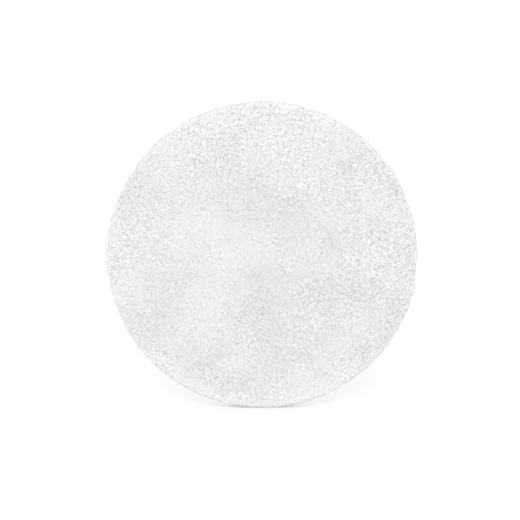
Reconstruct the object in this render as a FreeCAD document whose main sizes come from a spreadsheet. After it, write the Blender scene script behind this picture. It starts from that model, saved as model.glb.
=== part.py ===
"""Felt polishing disc for a flat lap: two needled felt plies with a laid scrim between them, backed by
double-sided tape whose release liner is slit into two halves that peel outwards.

The disc stands on its edge. Its axis is Y: the napped working face looks along -Y and the liner along +Y.
The origin is the middle of the whole stack. Sizes are in millimetres.
"""

import FreeCAD, Part
import Sketcher
import math
import os

DIMENSIONS = [
    ("disc_diameter", 150.0, "outer diameter of every layer"),
    ("face_ply", 3.0, "thickness of the napped face ply"),
    ("base_ply", 3.0, "thickness of the dense base ply"),
    ("felt_adhesive", 0.1, "glue coat between the felt and the tape's film"),
    ("carrier_film", 0.1, "plastic film in the middle of the tape"),
    ("lap_adhesive", 0.1, "pressure-sensitive coat that sticks to the lap plate"),
    ("liner", 0.2, "coated release paper"),
    ("nap_round", 0.8, "radius of the face ply's front edge"),
    ("yarn_width", 1.2, "width of one flat scrim yarn"),
    ("weft_thickness", 0.3, "thickness of a yarn that runs across"),
    ("warp_thickness", 0.3, "thickness of a yarn that runs up and down"),
    ("weft_pitch", 6.0, "spacing of the yarns that run across"),
    ("warp_pitch", 6.0, "spacing of the yarns that run up and down"),
    ("yarn_margin", 2.0, "least distance from the rim's edge to the middle of an outermost yarn"),
    ("slit_width", 0.3, "gap between the two halves of the liner"),
    ("blank_margin", 5.0, "how far the yarns reach past the rim before the disc is die-cut"),
]

LAYERS = ["face_ply", "base_ply", "felt_adhesive", "carrier_film", "lap_adhesive", "liner"]

# A sketch's own origin, both of its axes, and the named points of a sketched edge.
ORIGIN, ACROSS, UPWARDS = -1, -1, -2
START, END, CENTRE = 1, 2, 3

# Every sketch lies square to the disc's axis with its normal along -Y, so a pad grows forwards, towards the
# working face, unless it is reversed.
FORWARDS, BACKWARDS = False, True


def make_sheet(doc):
    """The spreadsheet of driving dimensions, with one alias to a row."""
    sheet = doc.addObject("Spreadsheet::Sheet", "dims")
    for row, (alias, value, meaning) in enumerate(DIMENSIONS, start=1):
        sheet.set(f"A{row}", meaning)
        sheet.set(f"B{row}", str(value))
        sheet.setAlias(f"B{row}", alias)
    doc.recompute()
    return sheet


def plane_behind(count):
    """Expression for the Y of the plane behind the first count layers, with the stack centred on Y 0."""
    total = " + ".join(f"dims.{layer}" for layer in LAYERS)
    passed = "".join(f" + dims.{layer}" for layer in LAYERS[:count])
    return f"-({total}) / 2{passed}"


def new_body(doc, name, layers_before):
    """An empty body, placed on the plane behind that many layers of the stack."""
    body = doc.addObject("PartDesign::Body", name)
    body.Label = name
    body.setExpression("Placement.Base.y", plane_behind(layers_before))
    return body


def new_sketch(body, name):
    """An empty sketch on the body's own plane square to the disc's axis: sketch x is X and sketch y is Z."""
    sketch = body.newObject("Sketcher::SketchObject", name)
    plane = next(item for item in body.Origin.OriginFeatures if item.Role == "XZ_Plane")
    sketch.AttachmentSupport = [(plane, "")]
    sketch.MapMode = "FlatFace"
    return sketch


def measure(item, expression):
    """What an expression of the sheet comes to now, so that a sketch is drawn at its size from the start."""
    return float(item.evalExpression(expression))


def bind(sketch, kind, points, expression):
    """Adds a dimension to the sketch, and ties it to an expression of the sheet."""
    constraint = Sketcher.Constraint(kind, *points, measure(sketch, expression))
    index = sketch.addConstraint(constraint)
    sketch.setExpression(f"Constraints[{index}]", expression)


def circle_about_axis(sketch, diameter):
    """The circle of that diameter about the disc's axis, as a curve."""
    return Part.Circle(FreeCAD.Vector(), FreeCAD.Vector(0, 0, 1), measure(sketch, diameter) / 2)


def draw_circle(sketch, diameter):
    """Draws a circle about the disc's axis."""
    circle = sketch.addGeometry(circle_about_axis(sketch, diameter))
    sketch.addConstraint(Sketcher.Constraint("Coincident", circle, CENTRE, ORIGIN, START))
    bind(sketch, "Diameter", [circle], diameter)


def draw_strip(sketch, runs, length, width, offset):
    """Draws a rectangle that runs across or up, centred along its run and offset square to it."""
    reach = measure(sketch, length) / 2
    low = measure(sketch, offset)
    high = low + measure(sketch, width)
    corners = [(-reach, low), (reach, low), (reach, high), (-reach, high)]
    if runs == UPWARDS:
        corners = [(y, x) for x, y in corners]
    points = [FreeCAD.Vector(x, y, 0) for x, y in corners]
    near, right, far, left = [
        sketch.addGeometry(Part.LineSegment(points[side], points[(side + 1) % 4])) for side in range(4)
    ]
    for first, second in [(near, right), (right, far), (far, left), (left, near)]:
        sketch.addConstraint(Sketcher.Constraint("Coincident", first, END, second, START))
    along, square = ("Horizontal", "Vertical") if runs == ACROSS else ("Vertical", "Horizontal")
    sketch.addConstraint(Sketcher.Constraint(along, far))
    sketch.addConstraint(Sketcher.Constraint(square, right))
    sketch.addConstraint(Sketcher.Constraint(square, left))
    middle = UPWARDS if runs == ACROSS else ACROSS
    sketch.addConstraint(Sketcher.Constraint("Symmetric", near, START, near, END, middle))
    run, rise = ("DistanceX", "DistanceY") if runs == ACROSS else ("DistanceY", "DistanceX")
    bind(sketch, run, [near, START, near, END], length)
    bind(sketch, rise, [right, START, right, END], width)
    bind(sketch, rise, [ORIGIN, START, near, START], offset)


def add_pad(body, sketch, name, thickness, direction):
    """A pad of the sketch, from the body's plane forwards or backwards."""
    pad = body.newObject("PartDesign::Pad", name)
    pad.Profile = sketch
    pad.setExpression("Length", thickness)
    pad.Reversed = direction
    return pad


def add_pocket(body, sketch, name, depth, direction):
    """A pocket of the sketch, from the body's plane forwards or backwards."""
    pocket = body.newObject("PartDesign::Pocket", name)
    pocket.Profile = sketch
    pocket.setExpression("Length", depth)
    pocket.Reversed = direction == FORWARDS
    return pocket


def add_row(body, feature, sketch, runs, pitch):
    """Repeats the outermost strip, yarn or groove, to the other side of the axis at the pitch."""
    steps = outermost_step(pitch)
    row = body.newObject("PartDesign::LinearPattern", f"{feature.Name}_row")
    row.Originals = [feature]
    row.Direction = (sketch, ["V_Axis" if runs == ACROSS else "H_Axis"])
    row.Reversed = True
    row.setExpression("Length", f"2 * {steps} * {pitch}")
    row.setExpression("Occurrences", f"2 * {steps} + 1")
    body.Tip = row
    return row


def outermost_step(pitch):
    """Expression for how many pitches the outermost yarn lies from the axis."""
    return f"floor((dims.disc_diameter / 2 - dims.yarn_margin) / {pitch})"


def draw_outermost_yarn(sketch, runs, pitch):
    """The strip of the outermost yarn, which reaches past the rim on both sides."""
    offset = f"{outermost_step(pitch)} * {pitch} - dims.yarn_width / 2"
    length = "dims.disc_diameter + 2 * dims.blank_margin"
    draw_strip(sketch, runs, length, "dims.yarn_width", offset)


def add_layer(doc, name, layer):
    """A plain die-cut round of one layer, padded backwards from the plane behind the layers before it."""
    body = new_body(doc, name, LAYERS.index(layer))
    outline = new_sketch(body, f"{name}_outline")
    draw_circle(outline, "dims.disc_diameter")
    add_pad(body, outline, f"{name}_round", f"dims.{layer}", BACKWARDS)
    return body


def add_face_felt(doc):
    """The napped ply, with its front edge rounded and grooves in its back where the weft is needled in."""
    body = new_body(doc, "face_felt", 1)
    outline = new_sketch(body, "face_felt_outline")
    draw_circle(outline, "dims.disc_diameter")
    pad = add_pad(body, outline, "face_felt_round", "dims.face_ply", FORWARDS)
    doc.recompute()
    circles = [(edge.Curve.Center.y, number) for number, edge in enumerate(pad.Shape.Edges, start=1)
               if isinstance(edge.Curve, Part.Circle)]
    front_edge = min(circles)[1]
    rounding = body.newObject("PartDesign::Fillet", "face_felt_front_edge")
    rounding.Base = (pad, [f"Edge{front_edge}"])
    rounding.setExpression("Radius", "dims.nap_round")
    doc.recompute()
    add_grooves(body, ACROSS, "dims.weft_pitch", "dims.weft_thickness", FORWARDS)
    return body


def add_base_felt(doc):
    """The dense ply, with grooves in its front where the warp is needled in."""
    body = add_layer(doc, "base_felt", "base_ply")
    doc.recompute()
    add_grooves(body, UPWARDS, "dims.warp_pitch", "dims.warp_thickness", BACKWARDS)
    return body


def add_grooves(body, runs, pitch, depth, direction):
    """A row of grooves across the body's plane, one for each yarn that lies there."""
    strip = new_sketch(body, f"{body.Name}_groove_outline")
    draw_outermost_yarn(strip, runs, pitch)
    groove = add_pocket(body, strip, f"{body.Name}_groove", depth, direction)
    return add_row(body, groove, strip, runs, pitch)


def add_yarns(doc, name, runs, pitch, thickness, direction):
    """A row of flat yarns from rim to rim, cut to the round outline."""
    body = new_body(doc, name, 1)
    body.AllowCompound = True
    strip = new_sketch(body, f"{name}_yarn_outline")
    draw_outermost_yarn(strip, runs, pitch)
    yarn = add_pad(body, strip, f"{name}_yarn", thickness, direction)
    add_row(body, yarn, strip, runs, pitch)
    doc.recompute()
    waste = new_sketch(body, f"{name}_waste_outline")
    draw_circle(waste, "dims.disc_diameter")
    draw_circle(waste, "2 * (dims.disc_diameter + dims.blank_margin)")
    add_pocket(body, waste, f"{name}_die_cut", thickness, direction)
    return body


def add_liner_half(doc, name, side):
    """One half of the release liner, left (side -1) or right (side 1) of the slit."""
    body = new_body(doc, name, LAYERS.index("liner"))
    outline = new_sketch(body, f"{name}_outline")
    circle = circle_about_axis(outline, "dims.disc_diameter")
    middle = 0 if side > 0 else math.pi
    reach = math.acos(measure(outline, "dims.slit_width / dims.disc_diameter"))
    arc = outline.addGeometry(Part.ArcOfCircle(circle, middle - reach, middle + reach))
    arc_shape = outline.Geometry[arc]
    cut = outline.addGeometry(Part.LineSegment(arc_shape.EndPoint, arc_shape.StartPoint))
    outline.addConstraint(Sketcher.Constraint("Coincident", arc, CENTRE, ORIGIN, START))
    outline.addConstraint(Sketcher.Constraint("Coincident", arc, END, cut, START))
    outline.addConstraint(Sketcher.Constraint("Coincident", cut, END, arc, START))
    outline.addConstraint(Sketcher.Constraint("Vertical", cut))
    bind(outline, "Radius", [arc], "dims.disc_diameter / 2")
    left_end, right_end = [(ORIGIN, START), (cut, START)][::side]
    bind(outline, "DistanceX", [*left_end, *right_end], "dims.slit_width / 2")
    add_pad(body, outline, f"{name}_half_round", "dims.liner", BACKWARDS)
    return body


def check(doc, bodies):
    """Stops if a feature failed, a solid is missing or a groove doesn't match the yarn that fills it."""
    failed = [item.Name for item in doc.Objects if "Invalid" in item.State or "Error" in item.State]
    if failed:
        raise RuntimeError(f"these features failed: {failed}")
    for body in bodies:
        if body.Shape.isNull() or not body.Shape.isValid():
            raise RuntimeError(f"{body.Label} has no valid shape")
    grooved = {"face_felt_groove_row": ("face_felt_front_edge", "scrim_weft"),
               "base_felt_groove_row": ("base_felt_round", "scrim_warp")}
    for last, (before, yarns) in grooved.items():
        removed = doc.getObject(before).Shape.Volume - doc.getObject(last).Shape.Volume
        if abs(removed - doc.getObject(yarns).Shape.Volume) > 0.01:
            raise RuntimeError(f"the grooves of {last} don't match {yarns}")


def export(bodies):
    """Writes each sub-part to parts/NODE.step."""
    os.makedirs("parts", exist_ok=True)
    for body in bodies:
        body.Shape.exportStep(f"parts/{body.Label}.step")
        box = body.Shape.BoundBox
        print(f"{body.Label}: {len(body.Shape.Solids)} solids, {body.Shape.Volume:.1f} mm3, "
              f"X {box.XMin:.2f} to {box.XMax:.2f}, Y {box.YMin:.3f} to {box.YMax:.3f}, "
              f"Z {box.ZMin:.2f} to {box.ZMax:.2f}")


def main():
    doc = FreeCAD.newDocument("felt_polishing_disc")
    make_sheet(doc)
    bodies = [
        add_face_felt(doc),
        add_yarns(doc, "scrim_weft", ACROSS, "dims.weft_pitch", "dims.weft_thickness", FORWARDS),
        add_yarns(doc, "scrim_warp", UPWARDS, "dims.warp_pitch", "dims.warp_thickness", BACKWARDS),
        add_base_felt(doc),
        add_layer(doc, "felt_adhesive", "felt_adhesive"),
        add_layer(doc, "carrier_film", "carrier_film"),
        add_layer(doc, "lap_adhesive", "lap_adhesive"),
        add_liner_half(doc, "liner_left", -1),
        add_liner_half(doc, "liner_right", 1),
    ]
    doc.recompute()
    check(doc, bodies)
    export(bodies)


main()
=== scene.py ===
"""Looks of a napped felt polishing disc that stands on its edge.

The felt plies are rebuilt with a lumpy nap, tens of thousands of curled fibres and a fuzzy die-cut rim.
The two halves of the release liner are rebuilt as thin paper cut into narrow strips. The scrim and the
tape keep their shape and get a finish. Everything is in metres.
"""

import math

import bpy
import numpy as np
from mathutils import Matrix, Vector, noise


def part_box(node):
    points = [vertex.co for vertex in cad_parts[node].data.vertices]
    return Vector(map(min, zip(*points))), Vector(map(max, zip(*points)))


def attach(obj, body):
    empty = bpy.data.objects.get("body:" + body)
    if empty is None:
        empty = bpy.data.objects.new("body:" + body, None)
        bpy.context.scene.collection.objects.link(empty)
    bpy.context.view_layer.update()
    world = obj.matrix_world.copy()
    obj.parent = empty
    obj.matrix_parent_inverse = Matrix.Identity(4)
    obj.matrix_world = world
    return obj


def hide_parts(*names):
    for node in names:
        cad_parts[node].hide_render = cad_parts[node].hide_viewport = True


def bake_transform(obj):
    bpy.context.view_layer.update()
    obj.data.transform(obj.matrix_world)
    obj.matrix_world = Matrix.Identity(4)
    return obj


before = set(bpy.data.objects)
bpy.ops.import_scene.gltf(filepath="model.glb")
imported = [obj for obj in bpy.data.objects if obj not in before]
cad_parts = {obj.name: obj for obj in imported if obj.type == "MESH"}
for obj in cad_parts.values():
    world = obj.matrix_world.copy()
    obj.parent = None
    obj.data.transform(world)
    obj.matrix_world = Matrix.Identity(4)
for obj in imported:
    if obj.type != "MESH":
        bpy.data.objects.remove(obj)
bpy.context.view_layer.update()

MM = 0.001
SEED = 41

FACE_LOW, FACE_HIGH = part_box("face_felt")
BASE_LOW, BASE_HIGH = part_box("base_felt")

RADIUS = BASE_HIGH.x
FLOOR_Z = BASE_LOW.z

FUZZ_ROOM = 0.1 * MM                   # how far the felt stays inside the solid, to leave room for its fuzz
CUT_RADIUS = RADIUS - FUZZ_ROOM
NAP_ROUND = 0.9 * MM                   # radius of the face ply's front edge
NAP_FRONT = FACE_LOW.y + FUZZ_ROOM     # the felt that the curls of the face stand on
FLAT_RADIUS = CUT_RADIUS - NAP_ROUND   # the flat part of the face
SIDE_START = FLAT_RADIUS + NAP_ROUND * math.pi / 2     # where the cut side starts, measured along the felt
SIDE_DEPTH = BASE_HIGH.y - NAP_FRONT - NAP_ROUND       # the straight part of both plies' cut side
SEAM_MARGIN = 0.01 * MM                # vertices nearer than this to a seam between layers stay on it

FACE_GRID = 260                        # cells across the napped face
BASE_FACETS = 900                      # sides of the round base ply
RIM_LOOPS = 6                          # rows of faces down the side of a ply
WANDER_BAND = 4 * MM                   # how far in from the rim its wander is felt


# ---------------------------------------------------------------- helpers

def select_only(piece):
    """Leaves this piece selected and active, and nothing else."""
    bpy.ops.object.select_all(action="DESELECT")
    piece.select_set(True)
    bpy.context.view_layer.objects.active = piece


def vertex_places(mesh):
    """The mesh's vertices as an array of rows x, y, z."""
    places = np.empty(len(mesh.vertices) * 3)
    mesh.vertices.foreach_get("co", places)
    return places.reshape(-1, 3)


def move_vertices(mesh, places):
    """Puts the mesh's vertices at the rows of places."""
    mesh.vertices.foreach_set("co", places.ravel())
    mesh.update()


def smoothstep(low, high, values):
    """0 below low, 1 above high, and a smooth ramp between them."""
    share = np.clip((values - low) / (high - low), 0, 1)
    return share * share * (3 - 2 * share)


def unit(rows):
    """The rows, each scaled to length 1."""
    return rows / np.maximum(np.linalg.norm(rows, axis=-1, keepdims=True), 1e-12)


def soft_noise(places, size, shift):
    """Smooth noise from about -1 to 1 in lumps about size across, one value for each row of places.

    The shift picks the stretch of noise that is used.
    """
    offset = Vector((shift, shift * 0.7, -shift))
    return np.array([noise.noise(Vector(place) / size + offset) for place in places])


def weight_vertices(piece, name, weights):
    """A vertex group whose weights, from 0 to 1, are kept to the nearest step."""
    levels = 20
    group = piece.vertex_groups.new(name=name)
    steps = np.rint(np.clip(weights, 0, 1) * levels).astype(int)
    for step in range(1, levels + 1):
        members = np.flatnonzero(steps == step)
        if len(members):
            group.add(members.tolist(), step / levels, "REPLACE")


def displace(piece, name, size, strength, group):
    """Pushes the group's vertices in and out with a cloud pattern whose lumps are about size across."""
    pattern = bpy.data.textures.new(name, "CLOUDS")
    pattern.noise_scale = size
    pattern.noise_type = "SOFT_NOISE"
    pattern.noise_depth = 2
    push = piece.modifiers.new(name, "DISPLACE")
    push.texture = pattern
    push.texture_coords = "LOCAL"
    push.strength = strength
    push.mid_level = 0.5
    push.vertex_group = group
    select_only(piece)
    bpy.ops.object.modifier_apply(modifier=name)


def paint_attribute(mesh, name, values):
    """Stores one number for each vertex, which a material reads by that name."""
    attribute = mesh.attributes.new(name, "FLOAT", "POINT")
    attribute.data.foreach_set("value", np.asarray(values, np.float32))


def finish_piece(piece, body, material):
    """Gives a piece its material, smooth shading and its body."""
    piece.data.materials.clear()
    piece.data.materials.append(material)
    piece.data.shade_smooth()
    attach(piece, body)


# ---------------------------------------------------------------- materials

WHITE = (1, 1, 1, 1)


def new_material(name, roughness, sheen=0.0):
    """A node material with its shader: returns the material, its nodes, its links and the shader."""
    material = bpy.data.materials.new(name)
    material.use_nodes = True
    nodes, links = material.node_tree.nodes, material.node_tree.links
    shader = nodes["Principled BSDF"]
    shader.inputs["Roughness"].default_value = roughness
    shader.inputs["Sheen Weight"].default_value = sheen
    shader.inputs["Specular IOR Level"].default_value = 0.2
    return material, nodes, links, shader


def noise_node(nodes, links, scale, detail=3.0, distortion=0.0, stretch=(1, 1, 1)):
    """Noise on the object's own coordinates, in lumps per metre, drawn out along an axis of low stretch."""
    coordinates = nodes.new("ShaderNodeTexCoord")
    mapping = nodes.new("ShaderNodeMapping")
    mapping.inputs["Scale"].default_value = stretch
    pattern = nodes.new("ShaderNodeTexNoise")
    pattern.inputs["Scale"].default_value = scale
    pattern.inputs["Detail"].default_value = detail
    pattern.inputs["Distortion"].default_value = distortion
    links.new(coordinates.outputs["Object"], mapping.inputs["Vector"])
    links.new(mapping.outputs["Vector"], pattern.inputs["Vector"])
    return pattern.outputs["Fac"]


def ramp_node(nodes, links, value, stops):
    """A colour ramp of the value, with stops of (place, colour)."""
    ramp = nodes.new("ShaderNodeValToRGB")
    first, last = ramp.color_ramp.elements
    first.position, first.color = stops[0][0], (*stops[0][1], 1)
    last.position, last.color = stops[-1][0], (*stops[-1][1], 1)
    for place, colour in stops[1:-1]:
        ramp.color_ramp.elements.new(place).color = (*colour, 1)
    links.new(value, ramp.inputs["Fac"])
    return ramp.outputs["Color"]


def attribute_node(nodes, name):
    """The number that the mesh stores under this name."""
    attribute = nodes.new("ShaderNodeAttribute")
    attribute.attribute_name = name
    return attribute.outputs["Fac"]


def math_node(nodes, links, operation, first, second=0.0):
    """One step of arithmetic on a value, with a number or another value."""
    step = nodes.new("ShaderNodeMath")
    step.operation = operation
    links.new(first, step.inputs[0])
    if isinstance(second, float):
        step.inputs[1].default_value = second
    else:
        links.new(second, step.inputs[1])
    return step.outputs["Value"]


def multiply_node(nodes, links, first, second, amount=None):
    """The first colour darkened by the second, by as much as the amount says."""
    mix = nodes.new("ShaderNodeMix")
    mix.data_type = "RGBA"
    mix.blend_type = "MULTIPLY"
    mix.inputs["Factor"].default_value = 1.0
    if amount is not None:
        links.new(amount, mix.inputs["Factor"])
    links.new(first, mix.inputs["A"])
    links.new(second, mix.inputs["B"])
    return mix.outputs["Result"]


def bump_node(nodes, links, height, distance, strength, shader):
    """Roughens the shading with the height."""
    bump = nodes.new("ShaderNodeBump")
    bump.inputs["Distance"].default_value = distance
    bump.inputs["Strength"].default_value = strength
    links.new(height, bump.inputs["Height"])
    links.new(bump.outputs["Normal"], shader.inputs["Normal"])


def grey(value):
    """A colour without a tint."""
    return (value, value, value)


def tangle_node(nodes, links, scales):
    """Curly fibre lines, 1 on a fibre and 0 beside it: one layer of winding lines for each scale."""
    thinness = 9.0
    tangle = None
    for scale in scales:
        pattern = noise_node(nodes, links, scale, 0.6, 0.5)
        middle = math_node(nodes, links, "ABSOLUTE", math_node(nodes, links, "SUBTRACT", pattern, 0.5))
        slope = math_node(nodes, links, "MULTIPLY", middle, -thinness)
        line = math_node(nodes, links, "SUBTRACT", slope, -1.0)
        tangle = line if tangle is None else math_node(nodes, links, "MAXIMUM", tangle, line)
    return math_node(nodes, links, "MAXIMUM", tangle, 0.0)


def speckle_nap(nodes, links, tone):
    """Faint clouds and painted foot light on the wool's tone, and fine specks, most where the nap stands
    up.
    """
    flat_share = 0.25
    # The tone attribute carries the faint clouds and the painted light at the foot.
    clouds = attribute_node(nodes, "nap_tone_and_painted_foot_light")
    broad = ramp_node(nodes, links, clouds, [(0.0, grey(0.955)), (1.0, grey(1.0))])
    grain = noise_node(nodes, links, 2500, 1)
    specks = ramp_node(nodes, links, grain, [(0.36, grey(0.87)), (0.55, grey(1.0))])
    amount = math_node(nodes, links, "MULTIPLY", attribute_node(nodes, "nap_raised"), 1 - flat_share)
    amount = math_node(nodes, links, "ADD", amount, flat_share)
    return multiply_node(nodes, links, multiply_node(nodes, links, tone, broad), specks, amount)


def napped_felt():
    """White felt with a raised nap: pressed and raised patches, painted light near the rim, and fine
    tangled fibres.
    """
    material, nodes, links, shader = new_material("napped_felt", 0.95, sheen=0.15)
    # The raised patches are painted lighter, to even out the shade that the standing nap casts into itself.
    raised = attribute_node(nodes, "nap_raised")
    # Painted light near the rim: the rim light attribute paints the nap lighter there.
    rim = attribute_node(nodes, "painted_rim_light")
    lightness = math_node(nodes, links, "ADD", raised, rim)
    lightness = math_node(nodes, links, "MULTIPLY", lightness, 0.5)
    stops = [(0.0, grey(0.765)), (0.5, grey(0.85)), (1.0, grey(0.99))]
    depth = ramp_node(nodes, links, lightness, stops)
    tangle = tangle_node(nodes, links, (520, 760, 1050, 1500))
    # Painted shade: the gaps beside the fibre lines are painted a little darker, as shade between the
    # fibres.
    fine = ramp_node(nodes, links, tangle, [(0.0, grey(0.88)), (0.8, grey(1.0))])
    tone = speckle_nap(nodes, links, multiply_node(nodes, links, depth, fine))
    links.new(tone, shader.inputs["Base Color"])
    bump_node(nodes, links, tangle, 0.08 * MM, 0.7, shader)
    return material


def nap_fibre():
    """White wool fibre, each a little lighter or darker than the next, painted lighter near the rim and
    where the nap stands up.
    """
    material, nodes, links, shader = new_material("nap_fibre", 0.9, sheen=0.15)
    # The fibre shade carries painted light near the rim and on the raised patches.
    shade = attribute_node(nodes, "fibre_shade")
    tone = ramp_node(nodes, links, shade, [(0.0, grey(0.70)), (1.0, grey(0.98))])
    links.new(speckle_nap(nodes, links, tone), shader.inputs["Base Color"])
    return material


def dense_felt():
    """Pressed felt of the base ply, whose cut side shows fibres lying along the disc and needle marks."""
    material, nodes, links, shader = new_material("dense_felt", 0.95, sheen=0.1)
    layers = noise_node(nodes, links, 500, 4, 0.6, (0.35, 2.2, 0.35))
    tone = ramp_node(nodes, links, layers, [(0.3, grey(0.86)), (0.65, grey(0.94))])
    links.new(tone, shader.inputs["Base Color"])
    bump_node(nodes, links, layers, 0.12 * MM, 0.7, shader)
    return material


def scrim_yarn():
    """Spun yarn with a slant twist."""
    material, nodes, links, shader = new_material("scrim_yarn", 0.8)
    twist = noise_node(nodes, links, 1400, 2, 0.4, (1, 0.3, 1))
    tone = ramp_node(nodes, links, twist, [(0.3, (0.76, 0.755, 0.74)), (0.7, (0.88, 0.875, 0.86))])
    links.new(tone, shader.inputs["Base Color"])
    bump_node(nodes, links, twist, 0.1 * MM, 0.6, shader)
    return material


def adhesive_coat():
    """Tacky clear coat over a tissue of short fibres, with a faint yellow cast."""
    material, nodes, links, shader = new_material("adhesive_coat", 0.25)
    tissue = noise_node(nodes, links, 420, 5, 2.2)
    tone = ramp_node(nodes, links, tissue, [(0.35, (0.74, 0.72, 0.65)), (0.65, (0.85, 0.83, 0.77))])
    links.new(tone, shader.inputs["Base Color"])
    smears = noise_node(nodes, links, 160, 3, 0.8)
    shine = ramp_node(nodes, links, smears, [(0.3, grey(0.14)), (0.7, grey(0.42))])
    links.new(shine, shader.inputs["Roughness"])
    shader.inputs["Specular IOR Level"].default_value = 0.5
    bump_node(nodes, links, tissue, 0.05 * MM, 0.35, shader)
    return material


def tape_film():
    """Clear film seen on its edge: pale, glossy and slightly streaked."""
    material, nodes, links, shader = new_material("tape_film", 0.2)
    streak = noise_node(nodes, links, 300, 2, 0.3, (1, 4, 1))
    tone = ramp_node(nodes, links, streak, [(0.3, grey(0.62)), (0.7, grey(0.78))])
    links.new(tone, shader.inputs["Base Color"])
    shine = ramp_node(nodes, links, streak, [(0.3, grey(0.12)), (0.7, grey(0.28))])
    links.new(shine, shader.inputs["Roughness"])
    return material


def liner_paper():
    """Coated release paper: off-white, faintly cloudy, with paper fibres under a satin skin."""
    material, nodes, links, shader = new_material("liner_paper", 0.45)
    cloud = noise_node(nodes, links, 90, 4, 0.3)
    base = ramp_node(nodes, links, cloud, [(0.3, (0.80, 0.785, 0.75)), (0.7, (0.86, 0.85, 0.82))])
    fibres = noise_node(nodes, links, 1100, 3, 1.4, (1, 1, 0.25))
    fleck = ramp_node(nodes, links, fibres, [(0.3, grey(0.90)), (0.6, grey(1.0))])
    links.new(multiply_node(nodes, links, base, fleck), shader.inputs["Base Color"])
    shine = ramp_node(nodes, links, cloud, [(0.3, grey(0.38)), (0.7, grey(0.55))])
    links.new(shine, shader.inputs["Roughness"])
    shader.inputs["Specular IOR Level"].default_value = 0.4
    bump_node(nodes, links, fibres, 0.02 * MM, 0.4, shader)
    return material


def white_floor():
    """Plain white floor, whose own faint glow keeps the shadows on it pale."""
    material, nodes, links, shader = new_material("studio_floor", 0.9)
    clouds = noise_node(nodes, links, 3, 1)
    tone = ramp_node(nodes, links, clouds, [(0.0, grey(0.695)), (1.0, grey(0.705))])
    links.new(tone, shader.inputs["Base Color"])
    shader.inputs["Specular IOR Level"].default_value = 0.0
    shader.inputs["Emission Color"].default_value = WHITE
    shader.inputs["Emission Strength"].default_value = 0.24
    return material


# ---------------------------------------------------------------- felt

# Where the disc's patterns lie in the field of noise, each a broad one and the finer ones on top of it.
PATCH_SHIFT, SMALL_PATCH_SHIFT = 289.12, 761.98
CLOUD_SHIFT, SMALL_CLOUD_SHIFT = 126.82, 535.18
RIM_SHIFT, SMALL_RIM_SHIFT, RAGGED_RIM_SHIFT = 675.57, 1095.34, 11.0


def reach_of(places):
    """How far each place is from the disc's axis."""
    return np.hypot(places[:, 0], places[:, 2])


def nap_raised(places):
    """How far the nap stands up, from 0 where it lies flat to 1.

    It is patchy, and stands up more towards the rim and towards the right.
    """
    flat_places = places * (1, 0, 1)
    patches = soft_noise(flat_places, 28 * MM, PATCH_SHIFT)
    patches = patches + 0.6 * soft_noise(flat_places, 13 * MM, SMALL_PATCH_SHIFT)
    outward = reach_of(places) / RADIUS
    rightward = places[:, 0] / RADIUS
    return smoothstep(-0.3, 0.9, patches + 0.35 * outward + 0.35 * rightward)


def nap_tone_and_painted_foot_light(places):
    """Broad and faint light and dark clouds in the wool, from 0 to 1: painted a little lighter at the foot.
    """
    flat_places = places * (1, 0, 1)
    clouds = soft_noise(flat_places, 26 * MM, CLOUD_SHIFT)
    clouds = clouds + 0.8 * soft_noise(flat_places, 13 * MM, SMALL_CLOUD_SHIFT)
    # Painted light: the foot is painted lighter to even out the shade at the bottom of the face.
    foot = smoothstep(-0.5 * RADIUS, -RADIUS, places[:, 2])
    return np.clip(0.5 + 0.6 * clouds + 0.5 * foot, 0, 1)


def painted_rim_light(places):
    """Painted light near the rim: how much lighter the nap is painted there.

    The painted light stands in for light on the fuzzy edge and evens out the shade there. It is painted
    lighter at the crown and the foot of the face, and all round the cut side.
    """
    reach = reach_of(places)
    verge = smoothstep(0.86 * RADIUS, 0.97 * RADIUS, reach)
    edge = smoothstep(FLAT_RADIUS + 0.3 * MM, FLAT_RADIUS + 0.9 * MM, reach)
    foot = smoothstep(-0.4 * RADIUS, -RADIUS, places[:, 2])
    crown = smoothstep(0.5 * RADIUS, RADIUS, places[:, 2])
    return (0.5 * foot + 0.25 * crown) * verge + (1 - 0.5 * crown) * edge


def rim_wander(places):
    """How far the die-cut rim strays outwards by these places: lumpy, and calm where the disc stands."""
    round_places = unit(places * (1, 0, 1)) * RADIUS
    stray = 0.48 + 0.95 * soft_noise(round_places, 15 * MM, RIM_SHIFT)
    stray += 0.5 * soft_noise(round_places, 5 * MM, SMALL_RIM_SHIFT)
    stray += 0.25 * soft_noise(round_places, 2.1 * MM, RAGGED_RIM_SHIFT)
    calm = smoothstep(-0.97, -0.4, round_places[:, 2] / RADIUS)
    return np.clip(stray, -0.05, 1.1) * MM * calm


def let_rim_wander(mesh):
    """Moves the vertices near the rim in and out with its wander."""
    places = vertex_places(mesh)
    reach = reach_of(places)
    near = reach > RADIUS - WANDER_BAND
    share = smoothstep(RADIUS - WANDER_BAND, CUT_RADIUS, reach[near])
    places[near] += unit(places[near] * (1, 0, 1)) * (rim_wander(places[near]) * share)[:, None]
    move_vertices(mesh, places)


def square_to_round(places, half, radius):
    """Squeezes the x and z of a square of that half side into a round, and keeps its cells even."""
    across, up = places[:, 0] / half, places[:, 2] / half
    flat = np.abs(across) > np.abs(up)
    far = np.where(flat, across, up)
    share = np.divide(np.where(flat, up, across), far, out=np.zeros_like(far), where=far != 0)
    turn = np.where(flat, share, 2 - share) * math.pi / 4
    places[:, 0] = radius * far * np.cos(turn)
    places[:, 2] = radius * far * np.sin(turn)


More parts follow.
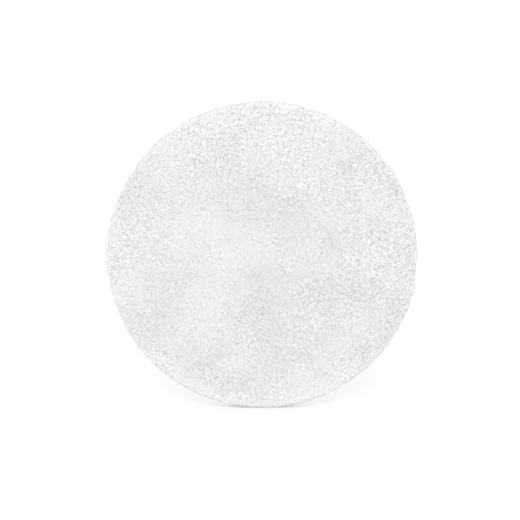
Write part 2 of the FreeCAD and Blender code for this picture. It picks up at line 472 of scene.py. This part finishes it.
def make_face_ply(material):
    """The napped ply: a lumpy front face, a rounded front edge and a rough cut side."""
    bpy.ops.mesh.primitive_grid_add(x_subdivisions=FACE_GRID, y_subdivisions=FACE_GRID,
                                    size=2 * RADIUS, rotation=(math.pi / 2, 0, 0))
    ply = bpy.context.object
    ply.name = "felt_nap"
    bpy.ops.object.transform_apply(location=False, rotation=True, scale=False)
    places = vertex_places(ply.data)
    square_to_round(places, RADIUS, CUT_RADIUS)
    past = np.clip(reach_of(places) - FLAT_RADIUS, 0, NAP_ROUND)
    places[:, 1] = NAP_FRONT + NAP_ROUND - np.sqrt(NAP_ROUND ** 2 - past ** 2)
    move_vertices(ply.data, places)
    step = (FACE_HIGH.y - NAP_FRONT - NAP_ROUND) / RIM_LOOPS
    bpy.ops.object.mode_set(mode="EDIT")
    bpy.ops.mesh.select_mode(type="EDGE")
    bpy.ops.mesh.select_all(action="DESELECT")
    bpy.ops.mesh.select_non_manifold()
    for _ in range(RIM_LOOPS):
        bpy.ops.mesh.extrude_region_move(TRANSFORM_OT_translate={"value": (0, step, 0)})
    bpy.ops.mesh.edge_face_add()
    bpy.ops.mesh.select_all(action="SELECT")
    bpy.ops.mesh.normals_make_consistent(inside=False)
    bpy.ops.object.mode_set(mode="OBJECT")
    # Painted light near the rim, read by the felt's material.
    paint_attribute(ply.data, "painted_rim_light", painted_rim_light(vertex_places(ply.data)))
    let_rim_wander(ply.data)
    places = vertex_places(ply.data)
    loose = (places[:, 1] < FACE_HIGH.y - SEAM_MARGIN).astype(float)
    raised = nap_raised(places)
    paint_attribute(ply.data, "nap_raised", raised)
    # The tone carries the faint clouds and the painted light at the foot.
    paint_attribute(ply.data, "nap_tone_and_painted_foot_light", nap_tone_and_painted_foot_light(places))
    weight_vertices(ply, "loose", loose)
    weight_vertices(ply, "raised", loose * (0.15 + 0.85 * raised))
    displace(ply, "swell", 22 * MM, 0.12 * MM, group="loose")
    displace(ply, "tuft", 0.9 * MM, 0.25 * MM, group="raised")
    finish_piece(ply, "disc", material)
    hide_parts("face_felt")


def make_base_ply(material):
    """The dense ply, of which only the cut side shows."""
    thickness = BASE_HIGH.y - BASE_LOW.y
    middle = (BASE_LOW.y + BASE_HIGH.y) / 2
    bpy.ops.mesh.primitive_cylinder_add(vertices=BASE_FACETS, radius=CUT_RADIUS, depth=thickness,
                                        location=(0, middle, 0), rotation=(math.pi / 2, 0, 0))
    ply = bpy.context.object
    ply.name = "felt_base"
    bpy.ops.object.transform_apply(location=True, rotation=True, scale=False)
    step = thickness / RIM_LOOPS
    bpy.ops.object.mode_set(mode="EDIT")
    for row in range(1, RIM_LOOPS):
        bpy.ops.mesh.select_all(action="SELECT")
        bpy.ops.mesh.bisect(plane_co=(0, BASE_LOW.y + row * step, 0), plane_no=(0, 1, 0))
    bpy.ops.object.mode_set(mode="OBJECT")
    let_rim_wander(ply.data)
    heights = vertex_places(ply.data)[:, 1]
    side = (heights > BASE_LOW.y + SEAM_MARGIN) & (heights < BASE_HIGH.y - SEAM_MARGIN)
    weight_vertices(ply, "side", side)
    displace(ply, "cut", 1.5 * MM, 0.35 * MM, group="side")
    finish_piece(ply, "disc", material)
    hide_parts("base_felt")


# ---------------------------------------------------------------- fibres

FIBRE_RINGS = 8          # rings of three vertices along a fibre, between its two tips
FIBRE_POINTS = FIBRE_RINGS + 2
NAP_SECTORS = 8          # pieces that the face's fibres are shared between
NAP_FIBRES = 26000
SIDE_FIBRES = 3200
BURIED = 0.18 * MM       # how deep the ends of a fibre are in the felt


def spread_roots(count, inner, outer, random):
    """Places spread evenly over a flat ring, as x, z rows: a sunflower spiral with some jitter."""
    number = np.arange(count) + 0.5
    reach = np.sqrt(inner ** 2 + (outer ** 2 - inner ** 2) * number / count)
    turn = number * math.pi * (3 - math.sqrt(5))
    spiral = np.stack([reach * np.cos(turn), reach * np.sin(turn)], axis=1)
    return spiral + random.normal(0, 0.4 * MM, (count, 2))


def wind_fibres(roots, random, length):
    """Winding lines in the flat, as fibre by point by x, z: each has its own curl, and wanders."""
    count = len(roots)
    curl = random.normal(0, 0.34, count)[:, None]
    turns = curl + random.normal(0, 0.38, (count, FIBRE_POINTS))
    heading = random.uniform(0, 2 * math.pi, count)[:, None] + np.cumsum(turns, axis=1)
    step = (length / (FIBRE_POINTS - 1))[:, None]
    across = np.cumsum(np.cos(heading) * step, axis=1)
    up = np.cumsum(np.sin(heading) * step, axis=1)
    lines = np.stack([across, up], axis=2)
    return lines - lines.mean(axis=1, keepdims=True) + roots[:, None]


def wave_heights(random, lift):
    """Height of each point over the felt: fibres dip in and out, and both ends are buried."""
    count = len(lift)
    stations = np.linspace(0, 1, FIBRE_POINTS)
    phase = random.uniform(0, 2 * math.pi, count)[:, None]
    waves = random.uniform(0.7, 2.0, count)[:, None]
    height = lift[:, None] * (0.45 + 0.55 * np.sin(phase + 2 * math.pi * waves * stations))
    sunk = 1 - np.sin(math.pi * stations) ** 0.4
    return height * (1 - sunk) - BURIED * sunk


def wrap_over_edge(flat, height):
    """Lays flat lines on the felt.

    Past the flat of the face they go round its edge and down the cut side.
    """
    reach = np.linalg.norm(flat, axis=-1)
    past = reach - FLAT_RADIUS
    turn = np.clip(past / NAP_ROUND, 0, math.pi / 2)
    down = np.clip(reach - SIDE_START, 0, SIDE_DEPTH - FUZZ_ROOM)
    new_reach = np.minimum(reach, FLAT_RADIUS) + (NAP_ROUND + height) * np.sin(turn)
    depth = NAP_FRONT + NAP_ROUND - (NAP_ROUND + height) * np.cos(turn) + down
    direction = flat / np.maximum(reach, 1e-9)[..., None]
    places = np.stack([direction[..., 0], depth, direction[..., 1]], axis=-1)
    edge = past > 0
    stray = np.zeros(reach.shape)
    stray[edge] = rim_wander(places[edge]) * np.clip(past[edge] / NAP_ROUND, 0, 1)
    places[..., 0] *= new_reach + stray
    places[..., 2] *= new_reach + stray
    places[..., 2] = np.maximum(places[..., 2], FLOOR_Z + FUZZ_ROOM)
    return places


def fibre_template():
    """Corners of one fibre's faces as (vertex, across, along): two tips and rings of three between them."""
    faces = []
    last = 2 + 3 * (FIBRE_RINGS - 1)
    step = 1 / (FIBRE_RINGS + 1)
    for side in range(3):
        after = (side + 1) % 3
        left, right = side / 3, (side + 1) / 3
        middle = (left + right) / 2
        faces.append([(0, middle, 0), (2 + after, right, step), (2 + side, left, step)])
        for ring in range(FIBRE_RINGS - 1):
            here, there = 2 + 3 * ring, 5 + 3 * ring
            low, high = (ring + 1) * step, (ring + 2) * step
            faces.append([(here + side, left, low), (here + after, right, low),
                          (there + after, right, high), (there + side, left, high)])
        faces.append([(1, middle, 1), (last + side, left, 1 - step), (last + after, right, 1 - step)])
    return faces


def fibre_mesh(name, lines, widths, shades, stands, tones_and_painted_foot_light, random):
    """One mesh of three-sided tapered tubes along the centre lines, each closed to a tip at both ends."""
    count = len(lines)
    tangents = unit(np.gradient(lines, axis=1))
    across = unit(np.cross(tangents, unit(random.normal(size=(count, 3)))[:, None]))
    upright = np.cross(tangents, across)
    per_fibre = 2 + 3 * FIBRE_RINGS
    places = np.empty((count, per_fibre, 3))
    places[:, 0], places[:, 1] = lines[:, 0], lines[:, -1]
    taper = np.sin(math.pi * np.linspace(0, 1, FIBRE_POINTS)[1:-1]) ** 0.4
    for ring in range(FIBRE_RINGS):
        reach = (widths / 2 * taper[ring])[:, None]
        for side in range(3):
            turn = 2 * math.pi * side / 3
            out = math.cos(turn) * across[:, ring + 1] + math.sin(turn) * upright[:, ring + 1]
            places[:, 2 + 3 * ring + side] = lines[:, ring + 1] + out * reach
    faces = fibre_template()
    corners = np.array([corner[0] for face in faces for corner in face])
    sizes = np.tile([len(face) for face in faces], count)
    mesh = bpy.data.meshes.new(name)
    mesh.vertices.add(count * per_fibre)
    mesh.vertices.foreach_set("co", places.ravel())
    mesh.loops.add(count * len(corners))
    first = np.arange(count)[:, None] * per_fibre
    mesh.loops.foreach_set("vertex_index", (first + corners).ravel().astype(np.int32))
    mesh.polygons.add(len(sizes))
    starts = np.concatenate(([0], np.cumsum(sizes)[:-1]))
    mesh.polygons.foreach_set("loop_start", starts.astype(np.int32))
    mesh.polygons.foreach_set("loop_total", sizes.astype(np.int32))
    mesh.update(calc_edges=True)
    lay_out_map(mesh, faces, count)
    # The fibre shades carry painted light near the rim and on the raised patches, and the tones the painted
    # light at the foot.
    paint_attribute(mesh, "fibre_shade", np.repeat(shades, per_fibre))
    paint_attribute(mesh, "nap_raised", np.repeat(stands, per_fibre))
    paint_attribute(mesh, "nap_tone_and_painted_foot_light", np.repeat(tones_and_painted_foot_light, per_fibre))
    return mesh


def lay_out_map(mesh, faces, count):
    """A map that gives each fibre a small box of its own, unrolled flat."""
    boxes = math.ceil(math.sqrt(count))
    across = np.array([corner[1] for face in faces for corner in face])
    along = np.array([corner[2] for face in faces for corner in face])
    number = np.arange(count)[:, None]
    left = (number % boxes + 0.12 + 0.76 * across) / boxes
    low = (number // boxes + 0.08 + 0.84 * along) / boxes
    corners = np.stack([left, low], axis=2)
    layer = mesh.uv_layers.new(name="OFBake")
    layer.uv.foreach_set("vector", corners.ravel().astype(np.float32))


def add_fibres(name, lines, widths, shades, stands, tones_and_painted_foot_light, material, random):
    """A piece of fibres that rides with the disc."""
    piece = bpy.data.objects.new(name, fibre_mesh(name, lines, widths, shades, stands, tones_and_painted_foot_light, random))
    bpy.context.scene.collection.objects.link(piece)
    finish_piece(piece, "disc", material)


def make_face_nap(material):
    """The nap of the working face: fibres that stand up in some patches and lie flat in others."""
    random = np.random.default_rng(SEED)
    roots = spread_roots(NAP_FIBRES, 0, SIDE_START, random)
    turns = (np.arctan2(roots[:, 1], roots[:, 0]) / (2 * math.pi) + 1) % 1
    sector = (turns * NAP_SECTORS).astype(int)
    places = np.stack([roots[:, 0], np.zeros(len(roots)), roots[:, 1]], axis=1)
    raised = nap_raised(places)
    tones_and_painted_foot_light = nap_tone_and_painted_foot_light(places)
    # Painted light near the rim, added to the fibre shades below.
    rim = painted_rim_light(places)
    for number in range(NAP_SECTORS):
        here = sector == number
        count = int(here.sum())
        stands = raised[here]
        lines = wind_fibres(roots[here], random, random.uniform(2.6, 5.2, count) * MM)
        lift = (0.09 + 0.17 * stands) * random.uniform(0.5, 1.4, count) * MM
        lines = wrap_over_edge(lines, wave_heights(random, lift))
        widths = (random.uniform(0.06, 0.12, count) + 0.03 * stands) * MM
        # Raised fibres are painted lighter to even out the shade the standing nap casts into itself, and
        # the rim's fibres get painted rim light.
        shades = 0.34 + 0.20 * stands + (0.08 + 0.15 * stands) * random.uniform(-1, 1, count)
        shades = np.clip(shades + 0.35 * rim[here], 0, 1)
        name = f"nap_sector_{number + 1}"
        add_fibres(name, lines, widths, shades, stands, tones_and_painted_foot_light[here], material, random)


def make_side_fuzz(material):
    """Fuzz on the cut sides of both plies: loose at the top, pressed close where the disc stands."""
    random = np.random.default_rng(SEED + 1)
    roots = spread_roots(SIDE_FIBRES, SIDE_START, SIDE_START + SIDE_DEPTH, random)
    upper = roots[:, 1] > 0
    for name, here in (("side_fuzz_upper", upper), ("side_fuzz_lower", ~upper)):
        count = int(here.sum())
        lines = wind_fibres(roots[here], random, random.uniform(3.0, 6.0, count) * MM)
        loose = 0.3 + 0.7 * smoothstep(-0.7 * RADIUS, 0.3 * RADIUS, roots[here, 1])
        lift = loose * np.minimum(0.12 + random.exponential(0.26, count), 1.2) * MM
        places = wrap_over_edge(lines, wave_heights(random, lift))
        widths = random.uniform(0.08, 0.16, count) * MM
        # Painted light: the fuzz on the cut side is painted lighter than the face's fibres and gets the
        # full tone, to even out the shade at the rim.
        shades = random.uniform(0.68, 0.92, count)
        add_fibres(name, places, widths, shades, np.zeros(count), np.ones(count), material, random)


# ---------------------------------------------------------------- liner

LINER_FACETS = 360
LINER_STRIP = 1.5 * MM     # width of the strips that the paper is cut into


def make_liner_half(node, side, material):
    """Half of the release liner, as thin paper that lies on the tape, cut into narrow strips.

    The side is -1 for the half on the left of the slit, and 1 for the right.
    """
    low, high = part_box(node)
    bpy.ops.mesh.primitive_circle_add(vertices=LINER_FACETS, radius=RADIUS, fill_type="NGON",
                                      location=(0, low.y, 0), rotation=(math.pi / 2, 0, 0))
    paper = bpy.context.object
    paper.name = node + "_paper"
    bpy.ops.object.transform_apply(location=True, rotation=True, scale=False)
    slit = low.x if side > 0 else high.x
    bpy.ops.object.mode_set(mode="EDIT")
    bpy.ops.mesh.select_all(action="SELECT")
    bpy.ops.mesh.bisect(plane_co=(slit, 0, 0), plane_no=(side, 0, 0), clear_inner=True)
    rows = int(RADIUS / LINER_STRIP)
    for row in range(1, rows):
        bpy.ops.mesh.select_all(action="SELECT")
        bpy.ops.mesh.bisect(plane_co=(slit + side * row * LINER_STRIP, 0, 0), plane_no=(1, 0, 0))
    for row in range(1 - rows, rows):
        bpy.ops.mesh.select_all(action="SELECT")
        bpy.ops.mesh.bisect(plane_co=(0, 0, row * 2 * LINER_STRIP), plane_no=(0, 0, 1))
    bpy.ops.mesh.select_all(action="SELECT")
    bpy.ops.mesh.normals_make_consistent(inside=False)
    bpy.ops.object.mode_set(mode="OBJECT")
    thickness = paper.modifiers.new("thickness", "SOLIDIFY")
    thickness.thickness = high.y - low.y
    thickness.offset = 0
    select_only(paper)
    bpy.ops.object.modifier_apply(modifier="thickness")
    places = vertex_places(paper.data)
    places[:, 1] += (high.y - low.y) / 2
    move_vertices(paper.data, places)
    paper.data.materials.append(material)
    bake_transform(paper)
    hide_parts(node)


# ---------------------------------------------------------------- stage

def make_floor(material):
    """A wide floor that the disc stands on."""
    bpy.ops.mesh.primitive_plane_add(size=12, location=(0, 0, FLOOR_Z))
    floor = bpy.context.object
    floor.name = "studio_floor"
    floor.data.materials.append(material)


def add_lamp(name, place, spread, strength):
    """A broad, far lamp that shines from the place's direction, and whose spread is the angle it fills."""
    lamp_data = bpy.data.lights.new(name, "SUN")
    lamp_data.angle = math.radians(spread)
    lamp_data.energy = strength
    lamp = bpy.data.objects.new(name, lamp_data)
    bpy.context.scene.collection.objects.link(lamp)
    lamp.location = place
    lamp.rotation_euler = (-Vector(place)).to_track_quat("-Z", "Y").to_euler()


def make_light():
    """A white dome all round and a broad soft lamp above and in front."""
    world = bpy.data.worlds.new("studio")
    bpy.context.scene.world = world
    world.use_nodes = True
    dome = world.node_tree.nodes["Background"]
    dome.inputs["Color"].default_value = WHITE
    dome.inputs["Strength"].default_value = 1.06
    add_lamp("front_lamp", (-0.05, -0.95, 0.75), 30, 0.80)


def make_camera():
    """A long lens a little above the disc, square to its face."""
    elevation = math.radians(9.6)
    distance = 0.6
    aim = Vector((-0.00116, 0, -0.00103))
    back = Vector((0, -math.cos(elevation), math.sin(elevation)))
    camera_data = bpy.data.cameras.new("camera")
    camera_data.lens = 85
    camera = bpy.data.objects.new("camera", camera_data)
    bpy.context.scene.collection.objects.link(camera)
    camera.location = aim + back * distance
    camera.rotation_euler = (-back).to_track_quat("-Z", "Y").to_euler()
    bpy.context.scene.camera = camera
    bpy.context.scene.view_settings.view_transform = "Standard"


# ---------------------------------------------------------------- whole scene

def dress_nodes():
    """Finishes of the CAD nodes that keep their own shape."""
    finishes = {
        "scrim_weft": scrim_yarn,
        "scrim_warp": scrim_yarn,
        "felt_adhesive": adhesive_coat,
        "carrier_film": tape_film,
        "lap_adhesive": adhesive_coat,
    }
    made = {finish: finish() for finish in dict.fromkeys(finishes.values())}
    for node, finish in finishes.items():
        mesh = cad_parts[node].data
        mesh.materials.clear()
        mesh.materials.append(made[finish])


make_camera()
make_light()
make_floor(white_floor())
dress_nodes()
felt, fibre, paper = napped_felt(), nap_fibre(), liner_paper()
make_face_ply(felt)
make_base_ply(dense_felt())
make_face_nap(fibre)
make_side_fuzz(fibre)
make_liner_half("liner_left", -1, paper)
make_liner_half("liner_right", 1, paper)
